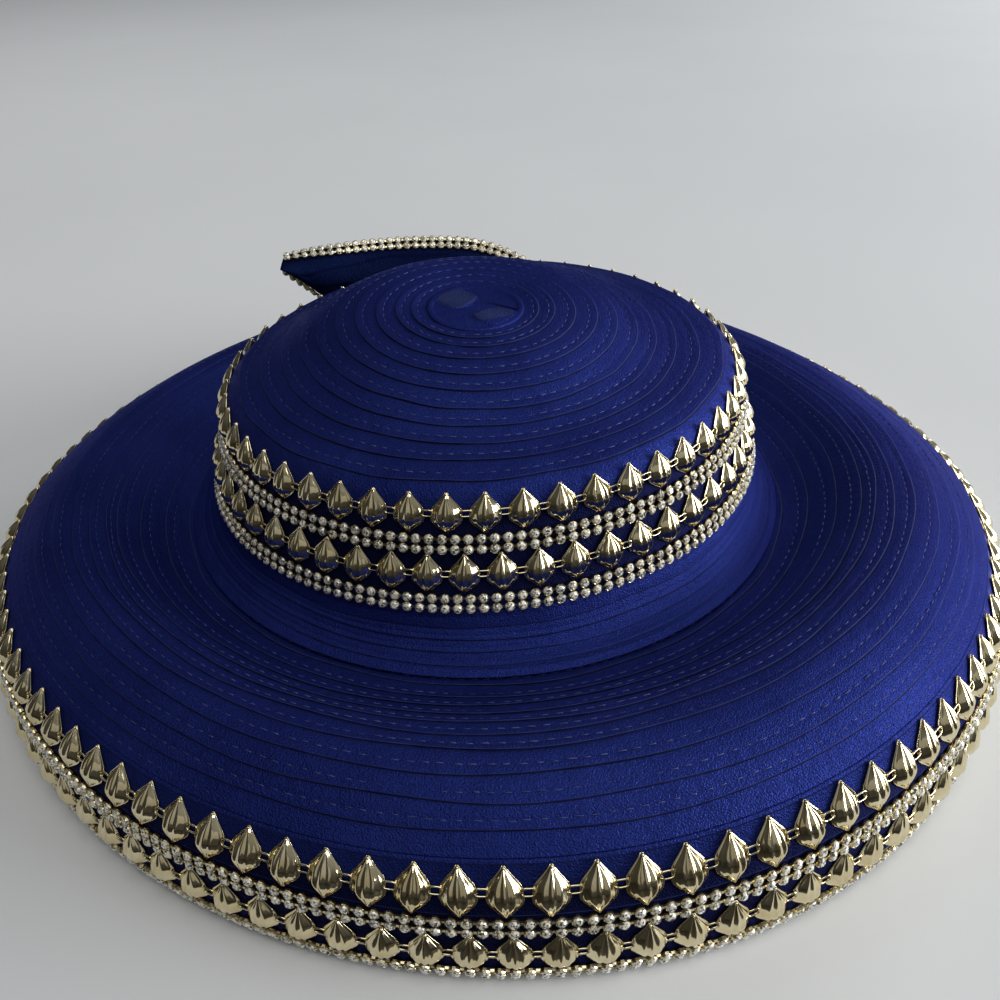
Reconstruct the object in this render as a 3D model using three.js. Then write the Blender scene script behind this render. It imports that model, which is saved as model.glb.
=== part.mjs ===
import * as THREE from 'three';

// Church hat sewn from satin ribbon, trimmed with chains of shell studs and bands of rhinestones.
// Millimetres, +Z up. The rim stands on the plane z = 0, the front of the hat looks along -Y.
// The hat is first described by a radius, a height and an angle, with angle 0 at the front
// and growing towards +X, and place() then gives each point the hat's slight unevenness.

const CROWN_FACETS = 38;
const BUTTON_FACETS = 20;
const BRIM_FACETS = 45;
const CLOTH_THICKNESS = 2.2;
const RIBBON_STEP = 0.9;
const GAP = 0.3;

// The crown: height of the ribbon's surface over the dome, then down the wall.
const DOME_TOP = 109;
const BUTTON_RADIUS = 17.6;
const DOME_TIERS = 10;
const DOME = [
  { radius: 17.6, height: 108.7 },
  { radius: 32, height: 108.3 },
  { radius: 44, height: 106.6 },
  { radius: 57, height: 102.4 },
  { radius: 72, height: 96.4 },
  { radius: 88.4, height: 91.6 },
];
const CROWN_WALL = { top: [91.2, 90.4], foot: [101, 52.5] };
const CROWN_FOOT_TIERS = [
  { radius: 102.2, height: 47.5 },
  { radius: 104.7, height: 41 },
  { radius: 108, height: 36 },
];

// The brim: a valley round the crown, a crest, then the roll down to the rim, whose wall
// turns down to the ground.
const BRIM_SEAT = { radius: 103.5, height: 33.6 };
const BRIM_TIERS = 11;
const BRIM = [
  { radius: 107, height: 34.2 },
  { radius: 114, height: 35 },
  { radius: 122, height: 37.8 },
  { radius: 132, height: 43.9 },
  { radius: 141, height: 48.5 },
  { radius: 152, height: 50.4 },
  { radius: 161, height: 49.6 },
  { radius: 171, height: 45 },
  { radius: 179.8, height: 38.4 },
];
const RIM_WALL = [[180.9, 37.5], [187.4, 26], [188.3, 19.7], [188.8, 6.8], [188.4, 0.6]];
const RIM_EDGE = [188, 0];

// Trims, from the top of a wall down: studs, rhinestones, studs, rhinestones.
const SHELL = { height: 12.7, depth: 3.2, bellyAt: 6, linkTop: 5.2, linkFoot: 7.4, linkDepth: 1.2 };
const BAND = { height: 6.1, depth: 2.2 };
const SHELL_PITCH = 11.4;

// The rim's own centre, which sets the middle of the whole hat on the origin.
const RIM_CENTRE = { x: 3.3, y: 1.7 };

// Unevenness: the crown stands a little off the rim's centre and leans, its dome drifts
// sideways and tips, and the rim sways in plan and in height by a few slow waves.
const CROWN_CENTRE = { x: -6.2, y: -2.2 };
const OFFSET_FADES = { from: 108, to: 175 };
const CROWN_LEAN = 0.029;
const LEAN_GROWS = { from: 36, to: 56 };
const DOME_DRIFT = -1;
const DRIFT_FADES = { from: 15, to: 90 };
const DOME_TIP = { x: -0.06, y: 0.06 };
const TIP_FADES = { from: 52, to: 86 };
const LIFT_FULL_AT = 45;
const RIM_SWAY = [
  { waves: 1, cosine: 1.4, sine: -0.8 },
  { waves: 2, cosine: 0.2, sine: -0.7 },
  { waves: 3, cosine: 0.4, sine: 2.5 },
];
const RIM_LIFT = [
  { waves: 1, cosine: 3.4, sine: 0.1 },
  { waves: 2, cosine: 1.4, sine: 2.9 },
  { waves: 3, cosine: -2.4, sine: 0 },
];

// The leaf of the bow stands behind the crown: its outline's height over x, front to back
// place, and how far its margins curl back.
const LEAF_OUTLINE = [
  { x: -95, low: 87.4, high: 89.4 },
  { x: -88, low: 79.4, high: 91 },
  { x: -75, low: 66, high: 92.6 },
  { x: -57, low: 48.5, high: 93.9 },
  { x: -35, low: 38.2, high: 94.2 },
  { x: -10, low: 36.6, high: 92.2 },
  { x: 10, low: 36.8, high: 84.6 },
  { x: 28, low: 38.8, high: 71 },
  { x: 40, low: 46, high: 58 },
];
const LEAF = { front: 101.8, bend: 800, bendFrom: -6, curl: 9, curlPower: 2.5, thickness: 2 };
const LEAF_ROWS = 6;
const LEAF_BAND_INSET = 0.04;
const LEAF_BAND_GAP = 0.9;
const LEAF_BAND_SHARE = 0.6;

const NAVY = { color: 0x141a52, roughness: 0.42, metalness: 0 };
const GOLD = { color: 0xcbb98c, roughness: 0.18, metalness: 1 };
const CRYSTAL = { color: 0xe6dfcf, roughness: 0.12, metalness: 0.6 };

function eased(value, from, to) {
  return THREE.MathUtils.smoothstep(value, from, to);
}

function waveSum(waves, angle) {
  let sum = 0;
  for (const wave of waves) {
    sum += wave.cosine * Math.cos(wave.waves * angle) + wave.sine * Math.sin(wave.waves * angle);
  }
  return sum;
}

// The true place of a point of the hat, with all its unevenness.
function place(radius, angle, height) {
  const outer = eased(radius, OFFSET_FADES.from, OFFSET_FADES.to);
  const r = radius + outer * waveSum(RIM_SWAY, angle);
  const drift = DOME_DRIFT * (1 - eased(r, DRIFT_FADES.from, DRIFT_FADES.to));
  const x = r * Math.sin(angle) + CROWN_CENTRE.x * (1 - outer) + drift;
  const y = -r * Math.cos(angle) + CROWN_CENTRE.y * (1 - outer);
  const lifted = Math.min(Math.max(height / LIFT_FULL_AT, 0), 1);
  const lean = CROWN_LEAN * (x - CROWN_CENTRE.x) * eased(height, LEAN_GROWS.from, LEAN_GROWS.to);
  const tip = DOME_TIP.x * (x - CROWN_CENTRE.x) + DOME_TIP.y * (y - CROWN_CENTRE.y);
  const tipped = tip * (1 - eased(r, TIP_FADES.from, TIP_FADES.to));
  const z = height + outer * lifted * waveSum(RIM_LIFT, angle) + lean * (1 - outer) + tipped;
  return new THREE.Vector3(x, y, z);
}

// Ribbon laid in tiers over a curve: each tier ends in a lip that lies on the next one out.
function ribbonTiers(table, tiers) {
  const curve = new THREE.SplineCurve(table.map((row) => new THREE.Vector2(row.radius, row.height)));
  const points = [];
  for (const edge of curve.getSpacedPoints(tiers)) {
    points.push([edge.x, edge.y], [edge.x + 0.1, edge.y - RIBBON_STEP]);
  }
  return points;
}

// The inner face of the cloth: a line shifted to its inner side by the cloth's thickness.
function innerFace(line) {
  return line.map((point, index) => {
    const before = line[Math.max(index - 1, 0)];
    const after = line[Math.min(index + 1, line.length - 1)];
    const run = new THREE.Vector2(after[0] - before[0], after[1] - before[1]).normalize();
    return [point[0] + run.y * CLOTH_THICKNESS, point[1] - run.x * CLOTH_THICKNESS];
  });
}

// The plain inner face needs fewer points than the tiers outside.
function everyOther(line) {
  return line.filter((point, index) => index % 2 === 0 || index === line.length - 1);
}

// A profile of radius and height turned about the hat's axis, then set in its true place.
// It runs from the top down the outside and back up the inside.
function turned(profile, facets) {
  const points = profile.map(([radius, height]) => new THREE.Vector2(radius, height)).reverse();
  const geometry = new THREE.LatheGeometry(points, facets);
  geometry.rotateX(Math.PI / 2);
  const position = geometry.attributes.position;
  for (let index = 0; index < position.count; index += 1) {
    const x = position.getX(index);
    const y = position.getY(index);
    const at = place(Math.hypot(x, y), Math.atan2(x, -y), position.getZ(index));
    position.setXYZ(index, at.x, at.y, at.z);
  }
  geometry.computeVertexNormals();
  return geometry;
}

// A closed skin over loops of equal length. A ring joins its last loop to its first,
// and an open run is capped at both ends between the two halves of the loop.
function skin(loops, isRing) {
  const size = loops[0].length;
  const vertices = loops.flat().flatMap((point) => [point.x, point.y, point.z]);
  const triangles = [];
  const spans = isRing ? loops.length : loops.length - 1;
  for (let span = 0; span < spans; span += 1) {
    const here = span * size;
    const next = ((span + 1) % loops.length) * size;
    for (let side = 0; side < size; side += 1) {
      const other = (side + 1) % size;
      triangles.push(here + side, next + side, next + other, here + side, next + other, here + other);
    }
  }
  if (!isRing) {
    const last = (loops.length - 1) * size;
    for (let side = 0; side < size / 2 - 1; side += 1) {
      const far = size - 1 - side;
      triangles.push(side, side + 1, far - 1, side, far - 1, far);
      triangles.push(last + side, last + far - 1, last + side + 1, last + side, last + far, last + far - 1);
    }
  }
  const geometry = new THREE.BufferGeometry();
  geometry.setAttribute('position', new THREE.Float32BufferAttribute(vertices, 3));
  geometry.setIndex(triangles);
  geometry.computeVertexNormals();
  return geometry;
}

// A point off a wall's straight stretch: so far down it and so far out from it.
function offWall(stretch, down, out) {
  const [top, foot] = stretch;
  const run = new THREE.Vector2(foot[0] - top[0], foot[1] - top[1]).normalize();
  return [top[0] + run.x * down - run.y * out, top[1] + run.y * down + run.x * out];
}

function shellChain(stretch) {
  const middle = offWall(stretch, SHELL.bellyAt, 0)[0];
  const count = Math.round((2 * Math.PI * middle) / SHELL_PITCH);
  const link = [[SHELL.linkTop, GAP], [SHELL.linkFoot, GAP], [SHELL.bellyAt, GAP + SHELL.linkDepth]];
  const stud = [[0, GAP], [SHELL.height, GAP], [SHELL.bellyAt, GAP + SHELL.depth]];
  const loops = [];
  for (let half = 0; half < 2 * count; half += 1) {
    const angle = (Math.PI * half) / count;
    const section = half % 2 === 0 ? stud : link;
    loops.push(section.map(([down, out]) => {
      const [radius, height] = offWall(stretch, down, out);
      return place(radius, angle, height);
    }));
  }
  return skin(loops, true);
}

function rhinestoneBand(stretch, facets) {
  const section = [[0, GAP], [BAND.height, GAP], [BAND.height, GAP + BAND.depth], [0, GAP + BAND.depth]];
  const loops = [];
  for (let facet = 0; facet < facets; facet += 1) {
    const angle = (2 * Math.PI * facet) / facets;
    loops.push(section.map(([down, out]) => {
      const [radius, height] = offWall(stretch, down, out);
      return place(radius, angle, height);
    }));
  }
  return skin(loops, true);
}

function crown() {
  const foot = CROWN_FOOT_TIERS.flatMap((tier) => [
    [tier.radius, tier.height],
    [tier.radius, tier.height - RIBBON_STEP],
  ]);
  const outside = [[0, DOME_TOP], ...ribbonTiers(DOME, DOME_TIERS), CROWN_WALL.top, CROWN_WALL.foot, ...foot];
  const line = [
    ...DOME.map((row) => [row.radius, row.height]),
    CROWN_WALL.top,
    CROWN_WALL.foot,
    ...CROWN_FOOT_TIERS.map((tier) => [tier.radius, tier.height]),
  ];
  const inside = everyOther(innerFace(line).reverse());
  return turned([...outside, ...inside, [0, DOME_TOP - CLOTH_THICKNESS]], CROWN_FACETS);
}

function crownButton() {
  const rise = 1.1;
  const foot = DOME_TOP + GAP;
  return turned([
    [0, foot + rise],
    [BUTTON_RADIUS * 0.6, foot + rise * 0.85],
    [BUTTON_RADIUS * 0.95, foot + rise * 0.3],
    [BUTTON_RADIUS, foot],
    [0, foot],
  ], BUTTON_FACETS);
}

function brim() {
  const line = [[BRIM_SEAT.radius, BRIM_SEAT.height], ...BRIM.map((row) => [row.radius, row.height])];
  const outside = [line[0], ...ribbonTiers(BRIM, BRIM_TIERS)];
  const inside = everyOther(innerFace(line).reverse());
  return turned([...outside, ...inside, line[0]], BRIM_FACETS);
}

function rim() {
  const outside = [...RIM_WALL, RIM_EDGE];
  const inside = everyOther(innerFace(outside).reverse());
  inside[0][1] = RIM_EDGE[1];
  return turned([...outside, ...inside, outside[0]], BRIM_FACETS);
}

// A point of the leaf: x along it, across from -1 at its lower edge to 1 at its upper edge,
// and off its middle towards the front.
function leafPoint(x, across, off) {
  const next = Math.max(LEAF_OUTLINE.findIndex((row) => row.x >= x), 1);
  const before = LEAF_OUTLINE[next - 1];
  const after = LEAF_OUTLINE[next];
  const part = (x - before.x) / (after.x - before.x);
  const low = THREE.MathUtils.lerp(before.low, after.low, part);
  const high = THREE.MathUtils.lerp(before.high, after.high, part);
  const back = LEAF.curl * Math.abs(across) ** LEAF.curlPower;
  const y = LEAF.front - (x - LEAF.bendFrom) ** 2 / LEAF.bend + back;
  const middle = (low + high) / 2;
  const half = (high - low) / 2;
  const lean = Math.sign(across) * 0.7 * Math.abs(across) ** LEAF.curlPower;
  return new THREE.Vector3(x, y - off * (1 - Math.abs(lean) * 0.3), middle + half * across + off * lean);
}

function leaf() {
  const half = LEAF.thickness / 2;
  const loops = LEAF_OUTLINE.map((row) => {
    const front = [];
    const back = [];
    for (let step = 0; step <= LEAF_ROWS; step += 1) {
      const across = (2 * step) / LEAF_ROWS - 1;
      front.push(leafPoint(row.x, across, half));
      back.unshift(leafPoint(row.x, across, -half));
    }
    return [...front, ...back];
  });
  return skin(loops, false);
}

// A band of rhinestones along one edge of the leaf, from station to station of its outline.
function leafBand(edge, from, to) {
  const near = LEAF.thickness / 2 + LEAF_BAND_GAP;
  const loops = LEAF_OUTLINE.slice(from, to).map((row) => {
    const width = Math.min((2 * BAND.height) / (row.high - row.low), LEAF_BAND_SHARE);
    const steps = [0, 0.5, 1].map((part) => edge * (1 - LEAF_BAND_INSET - part * width));
    const rising = edge > 0 ? steps.reverse() : steps;
    const front = rising.map((across) => leafPoint(row.x, across, near + BAND.depth));
    const back = rising.map((across) => leafPoint(row.x, across, near)).reverse();
    return [...front, ...back];
  });
  return skin(loops, false);
}

const hat = new THREE.Group();
hat.position.set(RIM_CENTRE.x, RIM_CENTRE.y, 0);

function add(name, geometry, finish) {
  const mesh = new THREE.Mesh(geometry, new THREE.MeshStandardMaterial(finish));
  mesh.name = name;
  hat.add(mesh);
}

// The stretches of a straight wall that its four trims take, from the top down.
function trimStretches(top, foot) {
  const heights = [SHELL.height, BAND.height, SHELL.height, BAND.height];
  const stretches = [];
  let down = 0;
  for (const height of heights) {
    stretches.push([offWall([top, foot], down, 0), offWall([top, foot], down + height, 0)]);
    down += height + GAP;
  }
  return stretches;
}

const crownStretches = trimStretches(CROWN_WALL.top, CROWN_WALL.foot);
const rimStretches = RIM_WALL.slice(1).map((foot, index) => [RIM_WALL[index], foot]);

add('crown', crown(), NAVY);
add('crown_button', crownButton(), NAVY);
add('brim', brim(), NAVY);
add('rim', rim(), NAVY);
add('crown_shell_chain_upper', shellChain(crownStretches[0]), GOLD);
add('crown_rhinestone_band_upper', rhinestoneBand(crownStretches[1], CROWN_FACETS), CRYSTAL);
add('crown_shell_chain_lower', shellChain(crownStretches[2]), GOLD);
add('crown_rhinestone_band_lower', rhinestoneBand(crownStretches[3], CROWN_FACETS), CRYSTAL);
add('brim_shell_chain_upper', shellChain(rimStretches[0]), GOLD);
add('brim_rhinestone_band_upper', rhinestoneBand(rimStretches[1], BRIM_FACETS), CRYSTAL);
add('brim_shell_chain_lower', shellChain(rimStretches[2]), GOLD);
add('brim_rhinestone_band_lower', rhinestoneBand(rimStretches[3], BRIM_FACETS), CRYSTAL);
add('bow_leaf', leaf(), NAVY);
add('bow_rhinestone_band_upper', leafBand(1, 1, LEAF_OUTLINE.length), CRYSTAL);
add('bow_rhinestone_band_lower', leafBand(-1, 1, 4), CRYSTAL);

export default hat;
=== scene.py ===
import math

import bmesh
import bpy
import numpy as np
from mathutils import Matrix, Vector


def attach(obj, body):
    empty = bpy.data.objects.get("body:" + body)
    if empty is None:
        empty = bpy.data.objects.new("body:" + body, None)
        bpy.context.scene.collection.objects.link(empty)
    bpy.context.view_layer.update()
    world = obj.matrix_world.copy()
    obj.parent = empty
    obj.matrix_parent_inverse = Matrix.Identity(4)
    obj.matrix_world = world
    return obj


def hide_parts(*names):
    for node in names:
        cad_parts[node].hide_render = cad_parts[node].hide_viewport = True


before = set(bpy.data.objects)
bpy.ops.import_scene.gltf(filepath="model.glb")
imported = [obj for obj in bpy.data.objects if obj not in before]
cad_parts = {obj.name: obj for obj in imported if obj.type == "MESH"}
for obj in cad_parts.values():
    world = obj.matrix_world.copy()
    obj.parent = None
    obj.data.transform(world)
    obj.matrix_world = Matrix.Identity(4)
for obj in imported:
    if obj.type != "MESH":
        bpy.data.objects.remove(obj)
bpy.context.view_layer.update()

# The hat's measures are in millimetres, and the script's random draws start from SEED. A point
# is described by a radius, an angle from the front towards +X and a height over the table, and
# place() gives it its true place in metres.
MM = 0.001
SEED = 7

CLOTH_THICKNESS = 2.2
BUTTON_RADIUS = 17.6
DOME = [(17.6, 108.7), (32, 108.3), (44, 106.6), (57, 102.4), (72, 96.4), (88.4, 91.6)]
CROWN_WALL = [(91.2, 90.4), (101, 52.5)]
CROWN_FOOT = [(102.2, 47.7), (105.0, 43.0), (108.5, 39.2), (112.6, 36.4)]
FOOT_TIERS = 4
DOME_EDGES = (17.6, 22.7, 28.3, 35.6, 43.2, 50.3, 57.3, 64, 71.2, 79, 87.4)
WALL_EDGES = (16, 35)
BRIM_SEAT = (103.5, 33.6)
BRIM_SEAT_DEPTH = 2.0
BRIM = [(107, 35.6), (114, 35.4), (122, 38.0), (132, 43.9), (141, 48.5), (152, 50.4),
        (161, 49.6), (171, 45), (179.8, 38.4)]
BRIM_EDGES = (107, 114.7, 123, 131.6, 138.9, 143.5, 149, 155.1, 162.6, 169.4, 175, 179.8)
RIM_WALL = [(180.9, 37.5), (187.4, 26), (187.9, 19.7), (188.6, 6.9), (186.3, 1.1)]
RIM_EDGE = (185.8, 0.0)
RIM_TOP = [(178.4, 37.2, -2.5), (179.2, 37.8, -1.6), (179.85, 38.08, -0.9), (180.3, 37.74, -0.3)]

SHELL_HEIGHT = 12.7
SHELL_PITCH = 11.4
SHELL_BELLY = 6.0
BAND_HEIGHT = 6.1
TRIM_GAP = 0.3

# How the crown and the rim lie: the crown stands off the rim's middle, leans and has a dome
# that drifts and tips, and the rim sways in and out and varies in height over its edge on the
# table. A wave is its number round the hat and its sizes by cosine and by sine.
RIM_CENTRE = (3.3, 1.7)
CROWN_CENTRE = (-6.2, -2.2)
OFFSET_FADES = (108, 175)
CROWN_LEAN = 0.029
LEAN_GROWS = (36, 56)
DOME_DRIFT = -1.0
DRIFT_FADES = (15, 90)
DOME_TIP = (-0.06, 0.06)
TIP_FADES = (52, 86)
LIFT_FULL_AT = 45.0
RIM_SWAY = [(1, 1.4, -0.8), (2, 0.2, -0.7), (3, 0.4, 2.5)]
RIM_LIFT = [(1, 3.4, 0.1), (2, 1.4, 2.9), (3, -2.4, 0.0)]


def eased(value, low, high):
    """0 below low, 1 above high, and a smooth step between them."""
    part = np.clip((value - low) / (high - low), 0, 1)
    return part * part * (3 - 2 * part)


def wave_sum(waves, angle):
    return sum(c * np.cos(n * angle) + s * np.sin(n * angle) for n, c, s in waves)


def place(radius, angle, height):
    """The true place, in metres, of points given by radius, angle and height in millimetres."""
    radius, angle, height = np.broadcast_arrays(radius, angle, height)
    outer = eased(radius, *OFFSET_FADES)
    swayed = radius + outer * wave_sum(RIM_SWAY, angle)
    drift = DOME_DRIFT * (1 - eased(swayed, *DRIFT_FADES))
    x = swayed * np.sin(angle) + CROWN_CENTRE[0] * (1 - outer) + drift
    y = -swayed * np.cos(angle) + CROWN_CENTRE[1] * (1 - outer)
    lifted = np.clip(height / LIFT_FULL_AT, 0, 1)
    lean = CROWN_LEAN * (x - CROWN_CENTRE[0]) * eased(height, *LEAN_GROWS)
    tip = DOME_TIP[0] * (x - CROWN_CENTRE[0]) + DOME_TIP[1] * (y - CROWN_CENTRE[1])
    tipped = tip * (1 - eased(swayed, *TIP_FADES))
    z = height + outer * lifted * wave_sum(RIM_LIFT, angle) + lean * (1 - outer) + tipped
    return np.stack([x + RIM_CENTRE[0], y + RIM_CENTRE[1], z], -1) * MM


# Profiles

def spline(points, per_span=24):
    """A smooth line through the points, as in the solid part: a uniform Catmull-Rom curve."""
    points = np.array(points, float)
    line = []
    last = len(points) - 1
    for span in range(last):
        p0, p1 = points[max(span - 1, 0)], points[span]
        p2, p3 = points[span + 1], points[min(span + 2, last)]
        t = np.linspace(0, 1, per_span, endpoint=False)[:, None]
        v0, v1 = (p2 - p0) / 2, (p3 - p1) / 2
        line.append((2 * p1 - 2 * p2 + v0 + v1) * t**3
                    + (-3 * p1 + 3 * p2 - 2 * v0 - v1) * t**2 + v0 * t + p1)
    return np.vstack([*line, points[-1:]])


class Profile:
    """A line of radius and height, measured along its length, with its outward direction."""

    def __init__(self, points):
        self.points = np.array(points, float)
        steps = np.hypot(*np.diff(self.points, axis=0).T)
        self.along = np.concatenate([[0], np.cumsum(steps)])
        self.length = self.along[-1]
        run = np.gradient(self.points, self.along, axis=0)
        run /= np.hypot(*run.T)[:, None]
        self.out = np.stack([-run[:, 1], run[:, 0]], -1)

    def at(self, along, off=0.0):
        """Radius and height at a length along the line, off it by some millimetres outwards."""
        place_at = [np.interp(along, self.along, self.points[:, i]) for i in (0, 1)]
        out = [np.interp(along, self.along, self.out[:, i]) for i in (0, 1)]
        size = np.hypot(*out)
        return place_at[0] + off * out[0] / size, place_at[1] + off * out[1] / size


def slow_noise(rng, angle, waves, size):
    """A wavering of about this size round the hat, the same at both ends of a turn."""
    total = np.zeros_like(angle)
    for wave in waves:
        total += rng.normal() * np.sin(wave * angle + rng.uniform(0, 2 * math.pi))
    return total * size / math.sqrt(len(waves) / 2)


# Meshes

def new_object(name, mesh, materials):
    piece = bpy.data.objects.new(name, mesh)
    bpy.context.scene.collection.objects.link(piece)
    for material in materials:
        mesh.materials.append(material)
    return piece


def set_smooth(mesh, smooth=True):
    mesh.polygons.foreach_set("use_smooth", np.full(len(mesh.polygons), smooth))


def grid_faces(rows, columns, wrap_rows, wrap_columns):
    """Quads of a grid of points that are numbered row by row."""
    i = np.arange(rows if wrap_rows else rows - 1)
    j = np.arange(columns if wrap_columns else columns - 1)
    i, j = [a.ravel() for a in np.meshgrid(i, j, indexing="ij")]
    i2, j2 = (i + 1) % rows, (j + 1) % columns
    return np.stack([i * columns + j, i2 * columns + j, i2 * columns + j2, i * columns + j2], -1)


def mesh_from(name, points, faces, attributes=()):
    mesh = bpy.data.meshes.new(name)
    faces = np.asarray(faces)
    mesh.vertices.add(len(points))
    mesh.vertices.foreach_set("co", np.asarray(points, np.float32).ravel())
    mesh.loops.add(faces.size)
    mesh.loops.foreach_set("vertex_index", faces.ravel().astype(np.int32))
    mesh.polygons.add(len(faces))
    mesh.polygons.foreach_set("loop_start", np.arange(len(faces), dtype=np.int32) * faces.shape[1])
    for label, values in attributes:
        layer = mesh.attributes.new(label, "FLOAT_VECTOR", "POINT")
        layer.data.foreach_set("vector", np.asarray(values, np.float32).ravel())
    mesh.update(calc_edges=True)
    return mesh


# Points closer than this, in metres, are one point.
SAME_POINT = 1e-6


def fill_ends(work):
    bmesh.ops.holes_fill(work, edges=[edge for edge in work.edges if edge.is_boundary], sides=0)


def join_points(work):
    bmesh.ops.remove_doubles(work, verts=work.verts, dist=SAME_POINT)


def drop_slivers(work):
    bmesh.ops.dissolve_degenerate(work, edges=work.edges, dist=SAME_POINT)


def tidy_mesh(mesh, *steps):
    """Takes the steps on a mesh, then turns all its faces outwards."""
    work = bmesh.new()
    work.from_mesh(mesh)
    for step in steps:
        step(work)
    bmesh.ops.recalc_face_normals(work, faces=work.faces)
    work.to_mesh(mesh)
    work.free()
    mesh.update()


# Materials

def node_material(name):
    material = bpy.data.materials.new(name)
    material.use_nodes = True
    tree = material.node_tree
    return material, tree, tree.nodes["Principled BSDF"]


def add_node(tree, kind, **settings):
    """A new node with values for its inputs or its own properties."""
    node = tree.nodes.new(kind)
    for key, value in settings.items():
        if key in node.inputs:
            node.inputs[key].default_value = value
        else:
            setattr(node, key, value)
    return node


def object_position(tree):
    return add_node(tree, "ShaderNodeTexCoord").outputs["Object"]


def noise(tree, vector, scale, detail=2.0, roughness=0.5):
    """Noise over an attribute or over the object position."""
    node = add_node(tree, "ShaderNodeTexNoise", Scale=scale, Detail=detail, Roughness=roughness)
    tree.links.new(vector, node.inputs["Vector"])
    return node.outputs["Fac"]


def ramp(tree, fac, stops):
    node = add_node(tree, "ShaderNodeValToRGB")
    while len(node.color_ramp.elements) < len(stops):
        node.color_ramp.elements.new(0.5)
    for element, (position, colour) in zip(node.color_ramp.elements, stops):
        element.position = position
        element.color = (*colour, 1.0)
    tree.links.new(fac, node.inputs["Fac"])
    return node.outputs["Color"]


def bump(tree, height, strength, distance, after=None):
    """Relief from a height, in metres, on top of the relief that comes before it."""
    node = add_node(tree, "ShaderNodeBump", Strength=strength, Distance=distance)
    tree.links.new(height, node.inputs["Height"])
    if after is not None:
        tree.links.new(after, node.inputs["Normal"])
    return node.outputs["Normal"]


def mottle(tree, shader, scale, stops, detail=2.0):
    """Colours the shader in soft blotches of a size, from one stop's colour to the next."""
    colour = ramp(tree, noise(tree, object_position(tree), scale, detail), stops)
    tree.links.new(colour, shader.inputs["Base Color"])


def roughen(tree, shader, scale, strength, distance):
    """Gives the shader a fine relief."""
    relief = bump(tree, noise(tree, object_position(tree), scale), strength, distance)
    tree.links.new(relief, shader.inputs["Normal"])


def vary_roughness(tree, shader, fac, low, high):
    spread = add_node(tree, "ShaderNodeMapRange")
    tree.links.new(fac, spread.inputs["Value"])
    spread.inputs["To Min"].default_value = low
    spread.inputs["To Max"].default_value = high
    tree.links.new(spread.outputs["Result"], shader.inputs["Roughness"])


# Blue cloth throws back the light in its own colour.
SATIN_GLOSS = (0.19, 0.27, 1.0)
DULL_GLOSS = (0.3, 0.4, 1.0)


def satin_material(name, dark, light, rough, gloss=1.0):
    """Navy satin: a fine grain, creases across the ribbon and a sheen spread across its threads."""
    material, tree, shader = node_material(name)
    mottle(tree, shader, 22.0, [(0.3, dark), (0.7, light)], 3.0)
    around = add_node(tree, "ShaderNodeAttribute", attribute_name="around").outputs["Vector"]
    vary_roughness(tree, shader, noise(tree, around, 60.0), rough - 0.06, rough + 0.08)
    grain = bump(tree, noise(tree, object_position(tree), 2100.0, 1.0), 1.0, 0.0004)
    brushed = bump(tree, noise(tree, around, 110.0, 2.0, 0.6), 0.26, 0.0004, grain)
    creases = bump(tree, noise(tree, around, 26.0, 3.0, 0.6), 0.2, 0.0012, brushed)
    waves = bump(tree, noise(tree, around, 7.0, 2.0), 0.2, 0.004, creases)
    tree.links.new(waves, shader.inputs["Normal"])
    tangent = add_node(tree, "ShaderNodeTangent", direction_type="RADIAL", axis="Z")
    tree.links.new(tangent.outputs["Tangent"], shader.inputs["Tangent"])
    shader.inputs["Metallic"].default_value = 0.6
    shader.inputs["Anisotropic"].default_value = 0.6
    shader.inputs["Anisotropic Rotation"].default_value = 0.25
    shader.inputs["Specular IOR Level"].default_value = 0.2
    shader.inputs["Specular Tint"].default_value = (*(gloss * c for c in SATIN_GLOSS), 1.0)
    return material


def plain_material(name, scale, stops, rough, relief=None, metal=0.0, gloss=0.5, tint=(1, 1, 1),
                   detail=2.0):
    """A mottled material, with a fine relief where its scale, strength and depth are given."""
    material, tree, shader = node_material(name)
    mottle(tree, shader, scale, stops, detail)
    if relief:
        roughen(tree, shader, *relief)
    shader.inputs["Metallic"].default_value = metal
    shader.inputs["Roughness"].default_value = rough
    shader.inputs["Specular IOR Level"].default_value = gloss
    shader.inputs["Specular Tint"].default_value = (*tint, 1.0)
    return material


def gold_material():
    """Pale polished plating, a little duller and darker in places."""
    material, tree, shader = node_material("pale_gold")
    mottle(tree, shader, 180.0, [(0.3, (0.71, 0.59, 0.33)), (0.7, (0.88, 0.785, 0.53))], 3.0)
    vary_roughness(tree, shader, noise(tree, object_position(tree), 400.0, 3.0), 0.06, 0.16)
    roughen(tree, shader, 260.0, 0.15, 0.0003)
    shader.inputs["Metallic"].default_value = 1.0
    return material


def crystal_material():
    """Foil-backed clear stone: facets painted lighter and darker at random, a painted sparkle, with a faint
    warm and cool play.
    """
    material, tree, shader = node_material("foiled_crystal")
    play = noise(tree, object_position(tree), 420.0, 1.0)
    colour = ramp(tree, play,
                  [(0.3, (0.98, 0.9, 0.7)), (0.5, (1.0, 0.96, 0.82)), (0.7, (0.95, 0.96, 0.9))])
    # Each facet's painted sparkle darkens its colour.
    painted_sparkle = add_node(tree, "ShaderNodeAttribute", attribute_name="painted_sparkle").outputs["Fac"]
    toned = add_node(tree, "ShaderNodeVectorMath", operation="SCALE")
    tree.links.new(colour, toned.inputs[0])
    tree.links.new(painted_sparkle, toned.inputs["Scale"])
    tree.links.new(toned.outputs["Vector"], shader.inputs["Base Color"])
    tree.links.new(bump(tree, play, 0.1, 0.0001), shader.inputs["Normal"])
    shader.inputs["Metallic"].default_value = 0.12
    shader.inputs["Roughness"].default_value = 0.04
    shader.inputs["Coat Weight"].default_value = 1.0
    shader.inputs["Coat Roughness"].default_value = 0.02
    return material


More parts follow.
